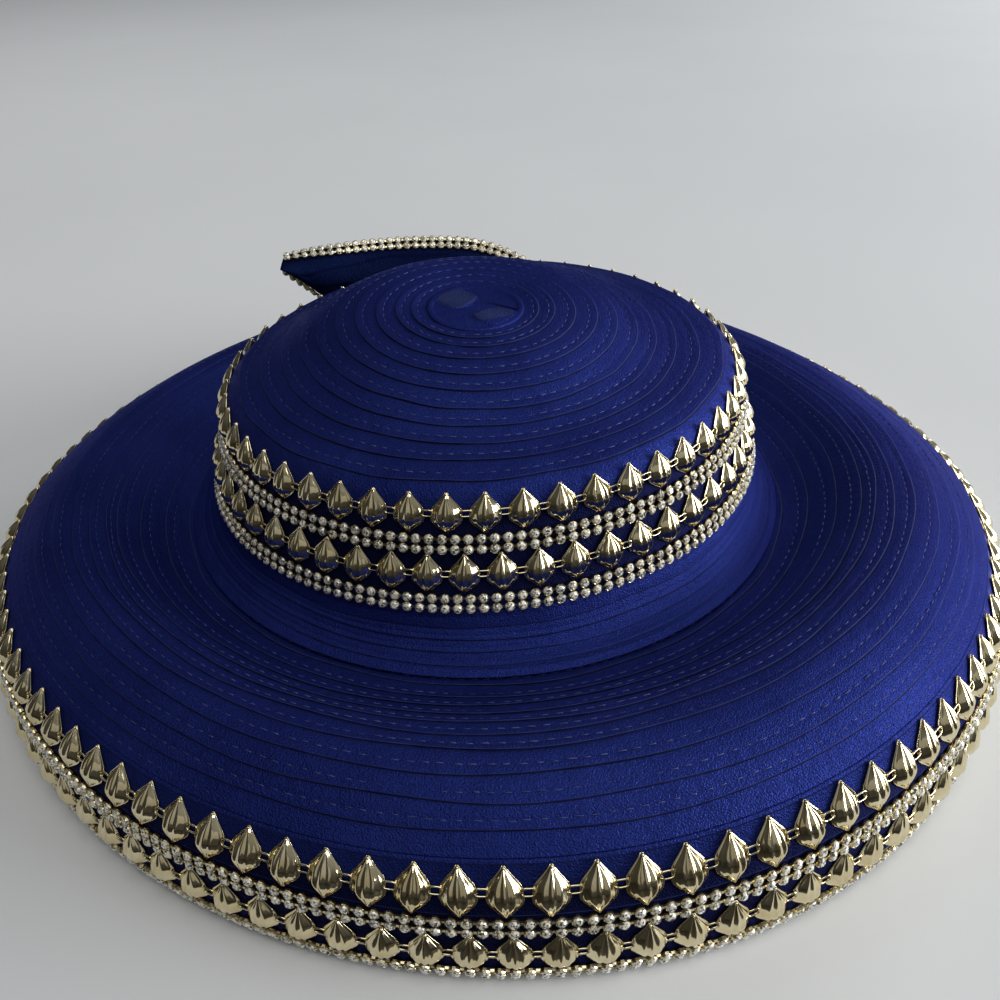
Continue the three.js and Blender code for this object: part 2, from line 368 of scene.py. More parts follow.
SATIN = satin_material("navy_satin", (0.0125, 0.021, 0.138), (0.0185, 0.031, 0.188), 0.42)
SATIN_BACK = satin_material("satin_back", (0.02, 0.03, 0.1), (0.032, 0.044, 0.135), 0.6)
# The leaf's satin is painted darker and given less sheen: a painted shade.
LEAF_PAINTED_SHADE_SATIN = satin_material("leaf_satin_painted_shade", (0.004, 0.008, 0.045), (0.006, 0.012, 0.06), 0.5, 0.15)
# Satin painted darker, a painted shade, for the cloth behind the trims.
SHADED_SATIN = satin_material("shaded_satin", (0.005, 0.0065, 0.036), (0.0075, 0.0095, 0.05), 0.5)
GOLD = gold_material()
CRYSTAL = crystal_material()

# The ribbon's woven edge is duller and greyer than its face. The fold beneath a lip is painted
# darker and duller, a painted shade for the crevice under the lip. The thread is a little
# lighter, and the cups are rougher than the studs.
SELVEDGE = plain_material("ribbon_edge", 160.0,
                          [(0.35, (0.018, 0.024, 0.1)), (0.65, (0.032, 0.04, 0.15))],
                          0.6, (3000.0, 0.3, 0.0001), gloss=0.25, tint=DULL_GLOSS)
SHADED_FOLD = plain_material("ribbon_fold_painted_shade", 160.0,
                             [(0.35, (0.006, 0.009, 0.045)), (0.65, (0.01, 0.0145, 0.068))],
                             0.8, gloss=0.1, tint=DULL_GLOSS)
THREAD = plain_material("blue_thread", 300.0,
                        [(0.35, (0.026, 0.031, 0.125)), (0.65, (0.066, 0.077, 0.24))],
                        0.4, (4000.0, 0.4, 0.0001))
CUP = plain_material("cup_gold", 500.0,
                     [(0.3, (0.55, 0.45, 0.25)), (0.7, (0.85, 0.76, 0.5))],
                     0.24, (900.0, 0.2, 0.0002), metal=1.0)


# Camera, floor and light

# The camera's place in millimetres, the degrees by which it looks down, aside and turned, and
# its focal length in widths of the picture.
CAMERA_PLACE = (RIM_CENTRE[0], -335.0 + RIM_CENTRE[1], 253.3)
CAMERA_ANGLES = (34.504, -0.09, -1.76)
CAMERA_FOCAL = 0.999
SENSOR = 36.0


def make_camera():
    """The camera at the photo's viewing angle."""
    data = bpy.data.cameras.new("camera")
    data.sensor_width = SENSOR
    data.lens = SENSOR * CAMERA_FOCAL
    data.clip_start = 0.01
    camera = bpy.data.objects.new("camera", data)
    bpy.context.scene.collection.objects.link(camera)
    down, yaw, roll = [math.radians(a) for a in CAMERA_ANGLES]
    forward = Vector((math.sin(yaw) * math.cos(down), math.cos(yaw) * math.cos(down), -math.sin(down)))
    level = Vector((math.cos(yaw), -math.sin(yaw), 0))
    rise = level.cross(forward)
    right = math.cos(roll) * level + math.sin(roll) * rise
    up = -math.sin(roll) * level + math.cos(roll) * rise
    turn = Matrix((right, up, -forward)).transposed()
    camera.matrix_world = Matrix.Translation(Vector(CAMERA_PLACE) * MM) @ turn.to_4x4()
    bpy.context.scene.camera = camera


# In metres: the pale floor's front edge, how far both floors reach, and how far they lie down.
FLOOR_FRONT = -0.207
FLOOR_REACH = 3.0
FLOOR_DOWN = 0.0003
ROOM_FLOOR_REACH = 9.0
ROOM_FLOOR_DOWN = 0.75


def flat_sheet(name, near, reach, height, material):
    """A floor from near to reach, front to back, and as far to both sides."""
    corners = [(-reach, near, 0), (reach, near, 0), (reach, reach, 0), (-reach, reach, 0)]
    sheet = new_object(name, mesh_from(name, corners, [(0, 1, 2, 3)]), [material])
    sheet.location.z = height


def make_floor():
    """A pale floor, which ends just in front of the picture as the table in the photo does, and
    the room's own floor below it, coloured near black as a painted shade for the dim room."""
    pale = plain_material("pale_floor", 3.0,
                          [(0.3, (0.8, 0.815, 0.825)), (0.7, (0.84, 0.855, 0.865))], 0.7, detail=4.0)
    dim = plain_material("room_floor", 3.0,
                         [(0.3, (0.05, 0.047, 0.043)), (0.7, (0.065, 0.06, 0.055))], 0.7, detail=4.0)
    flat_sheet("floor", FLOOR_FRONT, FLOOR_REACH, -FLOOR_DOWN, pale)
    flat_sheet("room_floor", -ROOM_FLOOR_REACH, ROOM_FLOOR_REACH, -ROOM_FLOOR_DOWN, dim)


# Where most lamps point, in metres, and the tints of daylight, of a lamp and of a plain wall.
HAT_MIDDLE = (0, 0, 0.05)
DAYLIGHT = (0.97, 0.985, 1.0)
LAMPLIGHT = (1.0, 0.985, 0.95)
WALL_LIGHT = (1.0, 0.98, 0.93)


def area_light(name, place_at, size, power, aim=HAT_MIDDLE, colour=(1, 1, 1)):
    """A soft lamp: its place, width and height in metres, and its watts."""
    data = bpy.data.lights.new(name, "AREA")
    data.shape = "RECTANGLE"
    data.size, data.size_y = size
    data.energy = power
    data.color = colour
    light = bpy.data.objects.new(name, data)
    bpy.context.scene.collection.objects.link(light)
    light.location = place_at
    light.rotation_euler = (Vector(aim) - Vector(place_at)).to_track_quat("-Z", "Y").to_euler()
    return light


# The room's bright side, and its brightness from 0, opposite that side, to 1, on it.
ROOM_BRIGHT_SIDE = (0.34, 0.02, 0.94)
ROOM = [(0.0, (0.06, 0.058, 0.055)), (0.42, (0.075, 0.073, 0.069)), (0.6, (0.1, 0.1, 0.1)),
        (0.8, (0.2, 0.205, 0.22)), (1.0, (0.5, 0.52, 0.55))]
ROOM_STRENGTH = 0.56
WASH_SPREAD = 75


def make_light():
    """Two windows to the right, a lamp on the ceiling, a dim wall in front, a faint wash on the
    floor behind, and the room."""
    area_light("window", (3.9, -0.55, 0.9), (3.2, 1.6), 175, colour=DAYLIGHT)
    area_light("side_window", (1.66, 1.66, 0.95), (1.1, 1.1), 12, colour=DAYLIGHT)
    area_light("ceiling_lamp", (0.1, -0.75, 2.2), (1.6, 1.2), 13, colour=LAMPLIGHT)
    area_light("front_wall", (0.0, -2.4, 1.3), (3.0, 1.6), 3.5, colour=WALL_LIGHT)
    wash = area_light("floor_wash", (-0.9, 1.0, 1.6), (1.0, 1.0), 0.8, aim=(-0.6, 0.9, 0))
    wash.data.spread = math.radians(WASH_SPREAD)
    world = bpy.data.worlds.new("world")
    bpy.context.scene.world = world
    world.use_nodes = True
    tree = world.node_tree
    back = tree.nodes["Background"]
    direction = add_node(tree, "ShaderNodeTexCoord").outputs["Generated"]
    towards = add_node(tree, "ShaderNodeVectorMath", operation="DOT_PRODUCT")
    tree.links.new(direction, towards.inputs[0])
    towards.inputs[1].default_value = ROOM_BRIGHT_SIDE
    share = add_node(tree, "ShaderNodeMapRange")
    share.inputs["From Min"].default_value = -1.0
    tree.links.new(towards.outputs["Value"], share.inputs["Value"])
    tree.links.new(ramp(tree, share.outputs["Result"], ROOM), back.inputs["Color"])
    back.inputs["Strength"].default_value = ROOM_STRENGTH
    bpy.context.scene.view_settings.view_transform = "Standard"


make_camera()
make_floor()
make_light()


# Cloth

# How far a lip stands up, and how many points there are round each body of cloth and rows on
# its inner face.
RIBBON_STEP = 0.6
RIM_STEP = 0.3
CROWN_AROUND = 320
BRIM_AROUND = 432
RIM_AROUND = 360
INNER_ROWS = 12

# The cloth's materials: the ribbon's face, its woven edge, the fold under a lip with painted
# shade, and the face behind the trims, darkened with painted shade.
CLOTH_MATERIALS = [SATIN, SELVEDGE, SHADED_FOLD, SHADED_SATIN]
FACE, WOVEN, FOLD, SHADED = range(4)

# A tier's section: the part of the way across it, millimetres past that, how far off the
# profile in parts of the step, and which of the cloth's materials follows. The ribbon comes
# out from under the lip before it, is drawn in by its seam, and its own lip stands off a little.
# The strips round a lip's fold carry the fold's painted shade.
TIER_SECTION = [(0.0, -0.8, -0.9, FOLD), (0.0, 0.35, -0.98, FACE), (0.3, 0, -0.7, FACE),
                (0.575, 0, -0.42, FACE), (0.62, 0, -0.54, FACE), (0.665, 0, -0.34, FACE),
                (0.85, 0, -0.13, FACE), (1.0, -0.42, -0.02, FACE), (1.0, -0.2, 0.0, WOVEN),
                (1.0, -0.04, -0.08, WOVEN), (1.0, 0.0, -0.25, FOLD), (1.0, -0.12, -0.42, FOLD)]


# A lip wavers by its sway where its turn is this wide or wider, and by less in smaller turns,
# and its height wavers by this part.
FULL_SWAY_RADIUS = 90
LIP_WAVES = (2, 3, 5, 7, 11, 16)
SMALL_TURN_WAVES = (2, 3, 4)
LIFT_WAVES = (3, 4, 6, 9, 13)
LIFT_WAVERS = 0.12
TUCKED_LIFT = 0.4

# The patterns' measure: units for a millimetre round the hat and for one along the profile.
PATTERN_AROUND = 0.01
PATTERN_ALONG = 0.002


def tiered_cloth(profile, edges, rng, angles, step=RIBBON_STEP, sway=0.25, tucked=True, shaded=()):
    """Rows of points over a profile laid with ribbon, tier by tier, from its start to its end.

    Where the last lip is tucked in, it is low and has no woven edge. The shaded tiers, the first
    of them from its middle on, are those behind the trims; their satin is painted darker as shade."""
    rows = []
    lips = []
    for edge in edges:
        calm = min(1.0, profile.at(edge)[0] / FULL_SWAY_RADIUS)
        waves = LIP_WAVES if calm > 0.5 else SMALL_TURN_WAVES
        lips.append(slow_noise(rng, angles, waves, sway * calm))
    lips[0][:] = 0
    lips[-1][:] = 0
    lifts = [1 + slow_noise(rng, angles, LIFT_WAVES, LIFT_WAVERS) for _ in edges]
    if tucked:
        lifts[-1] = lifts[-1] * TUCKED_LIFT
    for tier in range(len(edges) - 1):
        start = edges[tier] + lips[tier]
        end = edges[tier + 1] + lips[tier + 1]
        for part, past, drop, cloth in TIER_SECTION:
            along = start + (end - start) * part + past
            rise = step * np.where(part > 0.5, lifts[tier + 1], lifts[tier]) * drop
            radius, height = profile.at(along, rise)
            plain = tucked and part > 0.5 and tier == len(edges) - 2
            face = SHADED if tier in shaded[1:] or (tier in shaded and part > 0.5) else FACE
            rows.append((radius, height, along, face if plain or cloth == FACE else cloth))
    return rows


def cloth_object(name, rows, angles, node):
    """A closed cloth body from rows of radius, height and length along the profile.

    A row's fourth entry, where it has one, is the material that follows it. The attribute
    "around" is for patterns that run out long round the hat."""
    radius, height, along = [np.array([np.broadcast_to(row[i], angles.shape) for row in rows])
                             for i in range(3)]
    points = place(radius, angles[None, :], height)
    around = np.stack([np.sin(angles)[None, :] * radius * PATTERN_AROUND,
                       np.cos(angles)[None, :] * radius * PATTERN_AROUND, along * PATTERN_ALONG], -1)
    faces = grid_faces(len(rows), len(angles), False, True)
    mesh = mesh_from(name, points.reshape(-1, 3), faces, [("around", around.reshape(-1, 3))])
    slots = np.repeat([row[3] if len(row) > 3 else FACE for row in rows[:-1]], len(angles))
    mesh.polygons.foreach_set("material_index", slots.astype(np.int32))
    tidy_mesh(mesh, join_points, drop_slivers)
    set_smooth(mesh)
    piece = new_object(name, mesh, CLOTH_MATERIALS)
    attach(piece, "root")
    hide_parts(node)
    return piece


# The part of the cloth's thickness that goes where it thins out.
THINS_BY = 0.7


def inner_rows(line, count=INNER_ROWS, short=0.0, thins_over=0.0):
    """Rows over the plain inner face, from short of the line's end back to its start.

    Towards the end the cloth thins out over a length, where one is given."""
    profile = Profile(line)
    rows = []
    for along in np.linspace(profile.length - short, 0, count):
        thick = CLOTH_THICKNESS
        if thins_over:
            thick = thick * (1 - THINS_BY * eased(along, profile.length - thins_over, profile.length))
        radius, height = profile.at(along, -thick)
        rows.append((radius, height, along))
    return rows


# The crown is closed under the button: rows of radius, height and length before its profile.
UNDER_BUTTON = 107.8
UNDER_BUTTON_ROWS = [(0.0, UNDER_BUTTON, -15.0), (9.0, UNDER_BUTTON, -8.0)]
CROWN_INNER_ROWS = 11
FOOT_THINS_OVER = 8.0


def make_crown(angles):
    """The hollow crown: dome, wall and foot. Gives its profile and the edges of the dome's tiers."""
    rng = np.random.default_rng(SEED)
    line = np.vstack([spline(DOME), CROWN_WALL, CROWN_FOOT])
    profile = Profile(line)
    wall = Profile(spline(DOME)).length + math.dist(DOME[-1], CROWN_WALL[0])
    dome_edges = list(np.interp(DOME_EDGES, line[:, 0], profile.along))
    foot = np.interp(CROWN_FOOT[0][0], line[:, 0], profile.along)
    edges = dome_edges + [wall + down for down in WALL_EDGES]
    edges += list(np.linspace(foot, profile.length, FOOT_TIERS + 1))
    first_on_wall = len(DOME_EDGES) - 1
    rows = list(UNDER_BUTTON_ROWS)
    rows += tiered_cloth(profile, edges, rng, angles, shaded=(first_on_wall, first_on_wall + 1))
    rows += inner_rows(line, CROWN_INNER_ROWS, thins_over=FOOT_THINS_OVER)
    rows.append((0.0, UNDER_BUTTON - CLOTH_THICKNESS, -15.0))
    cloth_object("crown_cloth", rows, angles, "crown")
    return profile, dome_edges


def make_brim(angles):
    """The brim's saucer of tiers. Gives its profile and their edges."""
    rng = np.random.default_rng(SEED + 1)
    curve = spline(BRIM)
    profile = Profile(curve)
    edges = np.interp(BRIM_EDGES, curve[:, 0], profile.along)
    rows = [(BRIM_SEAT[0], BRIM_SEAT[1] - BRIM_SEAT_DEPTH, -4.0), (*BRIM_SEAT, -4.0)]
    rows += tiered_cloth(profile, edges, rng, angles, sway=0.35)
    rows += inner_rows(np.vstack([[BRIM_SEAT], curve]))
    rows.append(rows[0])
    cloth_object("brim_cloth", rows, angles, "brim")
    return profile, edges


RIM_TIERS = 3
RIM_INNER_SHORT = 1.5


def make_rim(angles):
    """The turned-down wall that carries the trims and stands on the table."""
    rng = np.random.default_rng(SEED + 2)
    profile = Profile(RIM_WALL)
    edges = np.linspace(0, profile.length, RIM_TIERS + 1)
    rows = list(RIM_TOP)
    rows += tiered_cloth(profile, edges, rng, angles, step=RIM_STEP, sway=0.15, tucked=False,
                         shaded=range(RIM_TIERS))
    rows.append((*RIM_EDGE, profile.length))
    rows.append((RIM_EDGE[0] - CLOTH_THICKNESS, RIM_EDGE[1], profile.length))
    rows += inner_rows([*RIM_WALL, RIM_EDGE], short=RIM_INNER_SHORT)
    rows.append(rows[0])
    cloth_object("rim_cloth", rows, angles, "rim")


def turn_in(parts):
    """The angles of so many equal parts of a turn."""
    return np.arange(parts) * 2 * math.pi / parts


crown_profile, crown_edges = make_crown(turn_in(CROWN_AROUND))
brim_profile, brim_edges = make_brim(turn_in(BRIM_AROUND))
make_rim(turn_in(RIM_AROUND))


# Stitches

# Where a stitch lies across its tier and how far under the lip's height, in parts of them.
STITCH_AT = 0.62
STITCH_DROP = 0.5
STITCH_LENGTH = 2.5
STITCH_PITCH = 4.2
STITCH_WIDTH = 0.4
STITCH_SIDES = 3
STITCH_RISES = 0.05
STITCH_SINKS = 0.06
STITCH_SINK_WAVES = (3, 5, 8, 13, 21)

# How unevenly they are sewn: parts of the pitch, millimetres across, and parts of the length.
STITCH_STRAYS = 0.12
STITCH_DRIFTS = 0.16
STITCH_LENGTHS = (0.75, 1.12)

# A stitch's rings: the part of its length from its middle, and the part of its full thickness.
STITCH_STATIONS = [(-0.5, 0.2), (-0.3, 1.0), (0.3, 1.0), (0.5, 0.2)]


def stitch_piece(name, profile, edges, rng):
    """Machine stitches along each tier: short raised threads in one joined mesh."""
    points = []
    for start, end in zip(edges[:-1], edges[1:]):
        along = start + (end - start) * STITCH_AT
        radius, _ = profile.at(along)
        count = int(2 * math.pi * radius / STITCH_PITCH)
        sunk = slow_noise(rng, turn_in(count), STITCH_SINK_WAVES, STITCH_SINKS)
        for index in range(count):
            angle = 2 * math.pi * (index + rng.uniform(-STITCH_STRAYS, STITCH_STRAYS)) / count
            drift = along + rng.uniform(-STITCH_DRIFTS, STITCH_DRIFTS)
            length = STITCH_LENGTH * rng.uniform(*STITCH_LENGTHS)
            seat = STITCH_RISES - sunk[index] - STITCH_DROP * RIBBON_STEP
            for part, thick in STITCH_STATIONS:
                turn = angle + part * length / radius
                for phase in turn_in(STITCH_SIDES):
                    across = math.cos(phase) * STITCH_WIDTH * thick / 2
                    off = math.sin(phase) * STITCH_WIDTH * thick / 2 + seat
                    points.append((turn, drift + across, off))
    table = np.array(points)
    radius, height = profile.at(table[:, 1], table[:, 2])
    placed = place(radius, table[:, 0], height)
    stations = len(STITCH_STATIONS)
    one = grid_faces(stations, STITCH_SIDES, False, True)
    size = stations * STITCH_SIDES
    total = len(placed) // size
    faces = (one[None] + (np.arange(total) * size)[:, None, None]).reshape(-1, 4)
    mesh = mesh_from(name, placed, faces)
    set_smooth(mesh)
    piece = new_object(name, mesh, [THREAD])
    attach(piece, "root")


stitch_piece("crown_stitches", crown_profile, crown_edges, np.random.default_rng(SEED + 3))
stitch_piece("brim_stitches", brim_profile, brim_edges, np.random.default_rng(SEED + 4))


# Trims

def stretch_profiles(top, foot, heights):
    """The stretches of a straight wall that its trims take, from the top down."""
    top, foot = np.array(top, float), np.array(foot, float)
    run = (foot - top) / np.hypot(*(foot - top))
    stretches = []
    down = 0.0
    for height in heights:
        stretches.append(Profile([top + run * down, top + run * (down + height)]))
        down += height + TRIM_GAP
    return stretches


def on_wall(stretch, angle, across, down, out):
    """Points on a wall: across it round the hat, down it and out from it, in millimetres."""
    radius, height = stretch.at(np.clip(down, 0, stretch.length))
    run = stretch.points[1] - stretch.points[0]
    run = run / np.hypot(*run)
    past = down - np.clip(down, 0, stretch.length)
    off_radius = radius + run[0] * past - run[1] * out
    off_height = height + run[1] * past + run[0] * out
    return place(off_radius, angle + across / radius, off_height)


# A stud's outline and its bulge: how far down it, and the part of its width or of its rise.
SHELL_WIDTH = 9.7
SHELL_RISE = 3.0
SHELL_PLATE = 0.3
SHELL_RIM = 0.2
SHELL_RIM_RISE = 0.8
FLUTE_PITCH = 0.5
FLUTE_DEPTH = 0.18
SHELL_OUTLINE = [(0, 0.08), (0.06, 0.18), (0.2, 0.49), (0.33, 0.8), (0.42, 0.95), (0.55, 0.97),
                 (0.66, 1.0), (0.76, 0.86), (0.89, 0.43), (1.0, 0.04)]
SHELL_BULGE = [(0, 0.13), (0.1, 0.34), (0.24, 0.63), (0.4, 0.87), (0.54, 0.98), (0.64, 1.0),
               (0.74, 0.85), (0.84, 0.54), (0.93, 0.19), (1.0, 0.0)]
SHELL_BODY_POINTS = 21
SHELL_DOWN = 15
SHELL_ROUNDNESS = 0.6
SHELL_TILT = 0.03
SHELL_SEAT = TRIM_GAP * 0.4
SHELL_SEAT_VARIES = 0.12


def table_of(points):
    """A smooth line through the points, as the two lists that np.interp takes."""
    line = spline(points, 6)
    return line[:, 0], line[:, 1]


def shell_shape():
    """One stamped stud as rows of across, down and out: a fluted bulge in a thin rounded rim."""
    outline, bulge = table_of(SHELL_OUTLINE), table_of(SHELL_BULGE)
    inner = np.linspace(-1, 1, SHELL_BODY_POINTS)
    dome = np.clip(1 - inner**2, 0, 1) ** SHELL_ROUNDNESS
    flutes = 0.5 + 0.5 * np.cos(2 * math.pi * inner / FLUTE_PITCH)
    lobes = dome * (1 - FLUTE_DEPTH + FLUTE_DEPTH * flutes)
    rows = []
    for down in np.linspace(0, 1, SHELL_DOWN):
        half = np.interp(down, *outline) * SHELL_WIDTH / 2
        rise = SHELL_RISE * np.interp(down, *bulge)
        rim = min(SHELL_RIM, half / 4)
        body = SHELL_PLATE + rise * lobes
        edge = [(half, 0.0), (half, SHELL_PLATE), (half - rim, SHELL_PLATE + SHELL_RIM_RISE * rim)]
        left, right = [-a for a, _ in edge], [a for a, _ in edge[::-1]]
        across = np.concatenate([left, inner * (half - 2 * rim), right])
        out = np.concatenate([[o for _, o in edge], body, [o for _, o in edge[::-1]]])
        rows.append(np.stack([across, np.full_like(across, down * SHELL_HEIGHT), out], -1))
    return np.array(rows)


LINK_TURNS = 12
LINK_SIDES = 5
LINK_HALF = 1.8
LINK_RISE = 0.95
LINK_WIRE = 0.4
LINK_SQUARENESS = 0.6
LINK_OUT = 0.85


def squared(value):
    """A sine or cosine made blunter, for a loop between an oval and a rectangle."""
    return math.copysign(abs(value) ** LINK_SQUARENESS, value)


def link_shape():
    """A wire link between two studs, as rings of across, down and out round a long loop."""
    outwards_of_wall = np.array([0, 0, 1])
    rings = []
    for turn in range(LINK_TURNS):
        phase = 2 * math.pi * (turn + 0.5) / LINK_TURNS
        centre = np.array([LINK_HALF * squared(math.cos(phase)), LINK_RISE * squared(math.sin(phase)), 0.0])
        outwards = centre / np.hypot(*centre[:2])
        rings.append([centre + LINK_WIRE * (math.cos(a) * outwards + math.sin(a) * outwards_of_wall)
                      for a in turn_in(LINK_SIDES)])
    return np.array(rings)


BEAD_RADIUS = 0.45
BEAD_SIDES = 8
BEAD_PARTS = 5
BEAD_AT = (0, 0.5, 0.75)


def bead_shape():
    """The small bead at a stud's top, as rings of across, down and out."""
    rings = []
    for step in range(1, BEAD_PARTS):
        polar = math.pi * step / BEAD_PARTS
        rings.append([(BEAD_RADIUS * math.sin(polar) * math.cos(a), BEAD_RADIUS * math.cos(polar),
                       BEAD_RADIUS * math.sin(polar) * math.sin(a)) for a in turn_in(BEAD_SIDES)])
    return np.array(rings) + BEAD_AT


def capped(rows):
    """The faces of a closed body made of rings of points, with its two ends filled."""
    count, around = rows.shape[:2]
    quads = [tuple(face) for face in grid_faces(count, around, False, True)]
    return quads + [tuple(range(around - 1, -1, -1)), tuple(range((count - 1) * around, count * around))]


def shell_chain(name, stretch, node, tip_angle):
    """A chain of studs and links round a wall, with one stud's tip at an angle: one joined mesh."""
    middle = stretch.at(SHELL_BELLY)[0]
    count = round(2 * math.pi * middle / SHELL_PITCH)
    rng = np.random.default_rng(SEED + len(name))
    squeeze = stretch.length / SHELL_HEIGHT
    shell, bead, link = shell_shape(), bead_shape(), link_shape()
    shell_faces, bead_faces = capped(shell), capped(bead)
    link_faces = [tuple(face) for face in grid_faces(*link.shape[:2], True, True)]
    link_at = np.array([0.0, 0.5 * SHELL_HEIGHT, LINK_OUT])
    points, faces = [], []
    start = 0
    for index in range(count):
        angle = tip_angle + 2 * math.pi * index / count
        tilt = rng.normal() * SHELL_TILT
        lift = SHELL_SEAT + rng.uniform(0, SHELL_SEAT_VARIES)
        for body, body_faces in ((shell, shell_faces), (bead, bead_faces)):
            flat = body.reshape(-1, 3)
            across = flat[:, 0] + (flat[:, 1] - SHELL_HEIGHT / 2) * tilt
            points.append(on_wall(stretch, angle, across, flat[:, 1] * squeeze, flat[:, 2] + lift))
            faces += [tuple(i + start for i in face) for face in body_faces]
            start += len(flat)
        wire = link.reshape(-1, 3) + link_at
        half = math.pi / count
        points.append(on_wall(stretch, angle + half, wire[:, 0], wire[:, 1] * squeeze, wire[:, 2]))
        faces += [tuple(i + start for i in face) for face in link_faces]
        start += len(wire)
    mesh = bpy.data.meshes.new(name)
    mesh.from_pydata(np.vstack(points).tolist(), [], faces)
    tidy_mesh(mesh)
    set_smooth(mesh)
    piece = new_object(name, mesh, [GOLD])
    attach(piece, "root")
    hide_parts(node)


STONE_WIDTH = 2.8
STONE_RISE = 0.8
STONE_SIDES = 8
STONE_POINT = 0.3
CUP_WIDTH = 3.3
CUP_RISE = 1.05
CUP_SIDES = 10
STONE_PITCH = 3.9
STONE_ROWS = (1.4, 4.72)
STONE_LEAN = 0.05
STONE_SEAT = TRIM_GAP * 0.3

# Painted sparkle: the share of its colour that a facet keeps, by chance, for the light and dark that facets
# reflect.
FACET_PAINTED_SPARKLE = (0.1, 0.4, 1.0, 1.0, 1.0)

# A stone's rings of corners: radius, height, and the part of a side by which they are turned.
STONE_RINGS = [(0.5 * STONE_WIDTH * 0.56, CUP_RISE + STONE_RISE, 0.0),
               (0.5 * STONE_WIDTH * 0.82, CUP_RISE + STONE_RISE * 0.6, 0.5),
               (0.5 * STONE_WIDTH, CUP_RISE - 0.05, 0.0)]

# A cup's section: radius and height. Its lip turns in over the stone's girdle.
CUP_SECTION = [(0.5 * CUP_WIDTH * 0.94, 0.1), (0.5 * CUP_WIDTH, CUP_RISE * 0.75),
               (0.5 * CUP_WIDTH * 0.96, CUP_RISE + 0.14), (0.5 * STONE_WIDTH * 0.88, CUP_RISE - 0.1)]


def stone_shape():
    """A cut stone: a table, kite facets, a girdle. Points of across, down, out and triangles."""
    sides = STONE_SIDES
    points = [(radius * math.cos(a), radius * math.sin(a), rise) for radius, rise, turned in STONE_RINGS
              for a in [2 * math.pi * (k + turned) / sides for k in range(sides)]]
    point, centre = len(points), len(points) + 1
    points += [(0.0, 0.0, STONE_POINT), (0.0, 0.0, STONE_RINGS[0][1])]
    faces = []
    for k in range(sides):
        after = (k + 1) % sides
        kite, kite_before = sides + k, sides + (k - 1) % sides
        girdle, girdle_after = 2 * sides + k, 2 * sides + after
        faces += [(k, after, kite), (k, kite, kite_before), (kite, girdle, kite_before),
                  (kite, girdle_after, girdle), (girdle, girdle_after, point), (k, after, centre)]
    return np.array(points), np.array(faces)


def cup_shape():
    """The cup round a stone, as points and triangles."""
    rings = [[(r * math.cos(a), r * math.sin(a), out) for r, out in CUP_SECTION]
             for a in turn_in(CUP_SIDES)]
    quads = grid_faces(CUP_SIDES, len(CUP_SECTION), True, True)
    triangles = np.vstack([quads[:, [0, 1, 2]], quads[:, [0, 2, 3]]])
    return np.array(rings).reshape(-1, 3), triangles


BAR_HALF_WIDTH = 0.42
BAR_HEIGHTS = (0.15, 0.75)
BAR_OVERLAP = 0.8


def bar_shape(pitch, along_row):
    """A small bar that joins two cups, as points and triangles."""
    half = (pitch - CUP_WIDTH + BAR_OVERLAP) / 2
    size = (half, BAR_HALF_WIDTH) if along_row else (BAR_HALF_WIDTH, half)
    corners = [(x * size[0], y * size[1], z) for z in BAR_HEIGHTS
               for x, y in ((-1, -1), (1, -1), (1, 1), (-1, 1))]
    faces = [(0, 2, 1), (0, 3, 2), (4, 5, 6), (4, 6, 7), (0, 1, 5), (0, 5, 4), (1, 2, 6), (1, 6, 5),
             (2, 3, 7), (2, 7, 6), (3, 0, 4), (3, 4, 7)]
    return np.array(corners), np.array(faces)


def turned_about(points, angle):
    """The points turned in the plane of across and down."""
    c, s = math.cos(angle), math.sin(angle)
    turned = points.copy()
    turned[:, 0] = points[:, 0] * c - points[:, 1] * s
    turned[:, 1] = points[:, 0] * s + points[:, 1] * c
    return turned


def stone_field(name, node, sites, put):
    """Stones in cups with bars between them, one joined mesh. put() sets a shape's points of
    across, down and out at a site, with its middle moved by at: across and down."""
    rng = np.random.default_rng(SEED + 40 + len(name))
    parts = {"stone": stone_shape(), "cup": cup_shape(), "row_bar": bar_shape(STONE_PITCH, True),
             "column_bar": bar_shape(STONE_ROWS[1] - STONE_ROWS[0], False)}
    points, faces, slots, painted_sparkles = [], [], [], []
    start = 0
    for site in sites:
        for row, down in enumerate(STONE_ROWS):
            todo = [("stone", (0, down)), ("cup", (0, down)), ("row_bar", (STONE_PITCH / 2, down))]
            if row == 0:
                todo.append(("column_bar", (0, sum(STONE_ROWS) / 2)))
            for kind, at in todo:
                shape, triangles = parts[kind]
                if kind == "stone":
                    shape = turned_about(shape, rng.uniform(0, 2 * math.pi))
                    lean = rng.normal(size=2) * STONE_LEAN
                    shape[:, 2] += shape[:, 0] * lean[0] + shape[:, 1] * lean[1]
                points.append(put(site, at, shape))
                faces.append(triangles + start)
                slots.append(np.full(len(triangles), 0 if kind == "stone" else 1))
                # Each facet gets a painted sparkle level by chance.
                painted_sparkles.append(rng.choice(FACET_PAINTED_SPARKLE, len(triangles)))
                start += len(shape)
    mesh = mesh_from(name, np.vstack(points), np.vstack(faces))
    piece = new_object(name, mesh, [CRYSTAL, CUP])
    mesh.polygons.foreach_set("material_index", np.concatenate(slots).astype(np.int32))
    painted_sparkle = mesh.attributes.new("painted_sparkle", "FLOAT", "FACE")
    painted_sparkle.data.foreach_set("value", np.concatenate(painted_sparkles).astype(np.float32))
    set_smooth(mesh, False)
    mesh.update()
    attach(piece, "root")
    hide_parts(node)


def rhinestone_band(name, stretch, node):
    """A double row of stones round a wall."""
    radius = stretch.at(BAND_HEIGHT / 2)[0]
    count = round(2 * math.pi * radius / STONE_PITCH)

    def put(angle, at, shape):
        return on_wall(stretch, angle, shape[:, 0] + at[0], shape[:, 1] + at[1], shape[:, 2] + STONE_SEAT)

    stone_field(name, node, turn_in(count), put)


